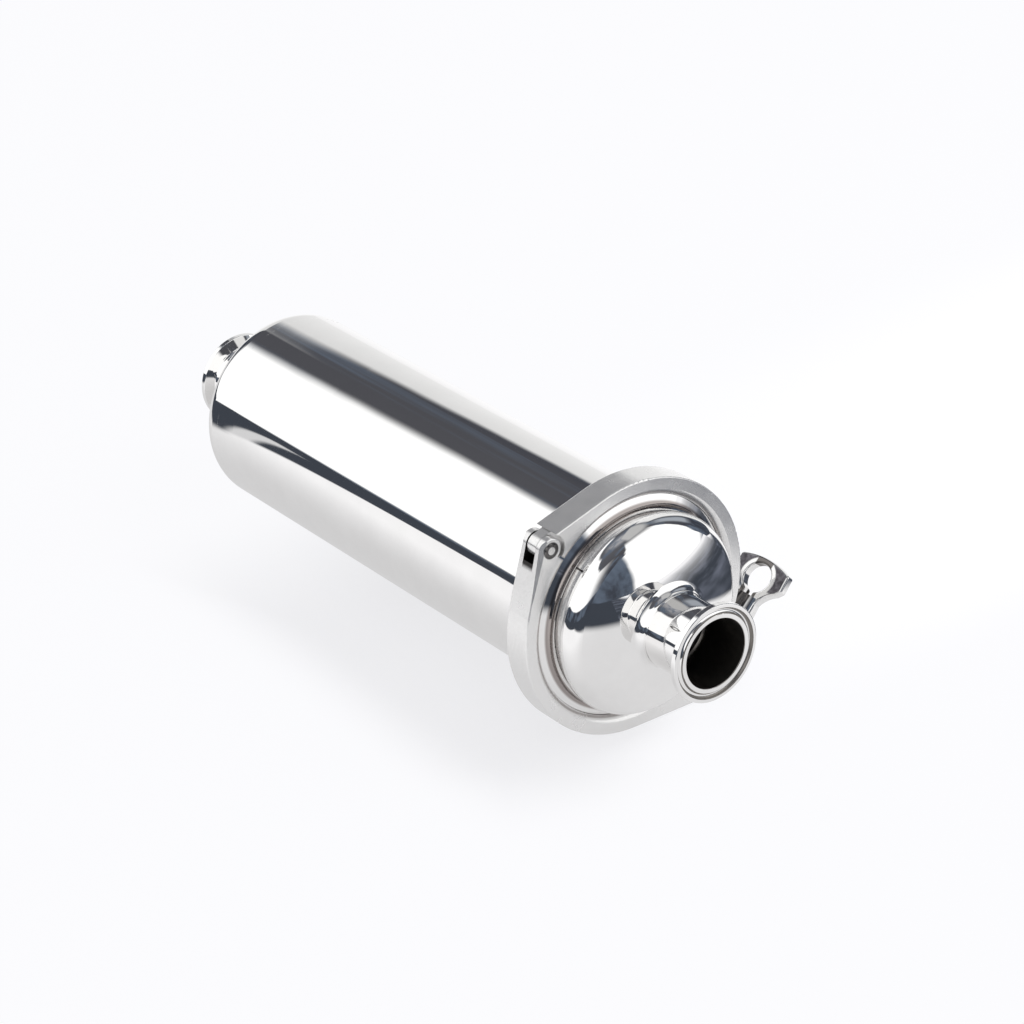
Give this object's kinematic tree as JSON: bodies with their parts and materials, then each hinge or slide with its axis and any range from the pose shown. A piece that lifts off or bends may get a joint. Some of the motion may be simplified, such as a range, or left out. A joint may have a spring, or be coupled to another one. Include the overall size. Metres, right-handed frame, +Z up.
{
  "type": "inline strainer",
  "caption": "Polished steel inline strainer: a long round housing with dished ends, clamp ferrules at inlet and outlet, a hinged wing-nut clamp at the cap and a mesh element inside.",
  "frame": {"origin": "centre of the inlet ferrule's face", "axes": "+X out of the inlet along the line axis, +Z up with the clamp's hinge at the upper front side, and the housing running towards -X"},
  "size_m": [0.401, 0.1614, 0.1339],
  "materials": {
    "polished_steel": "mirror polished stainless steel",
    "cast_steel": "tumbled and polished investment casting in stainless steel",
    "machined_steel": "fine turned stainless steel",
    "woven_mesh": "fine woven wire",
    "black_rubber": "smooth black rubber"
  },
  "bodies": {
    "strainer": {"inlet_ferrule": "polished_steel", "cap_dished_end": "polished_steel", "cap_clamp_ferrule": "polished_steel", "joint_gasket": "black_rubber", "housing_clamp_ferrule": "polished_steel", "housing_tube": "polished_steel", "tail_dished_end": "polished_steel", "outlet_ferrule": "polished_steel", "outlet_seat": "polished_steel", "element_collar": "machined_steel", "element_seal": "black_rubber", "element_core": "machined_steel", "element_mesh": "woven_mesh", "element_bands": "machined_steel", "element_end_cap": "machined_steel", "clamp_lower_half": "cast_steel", "clamp_upper_half": "cast_steel", "hinge_pin": "machined_steel", "bolt_pivot_pin": "machined_steel"},
    "swing_bolt": {"swing_bolt": "machined_steel"},
    "wing_nut": {"wing_nut": "cast_steel"}
  },
  "joints": [
    {"name": "bolt_swing", "type": "hinge", "parent": "strainer", "child": "swing_bolt", "pos_m": [-0.06625, 0.04734, -0.05823], "axis": [-1, 0, 0], "range_deg": [0, 110]},
    {"name": "nut_turn", "type": "hinge", "parent": "swing_bolt", "child": "wing_nut", "pos_m": [-0.06625, 0.04734, -0.05823], "axis": [0, 0.6947, 0.7193], "continuous": true}
  ]
}
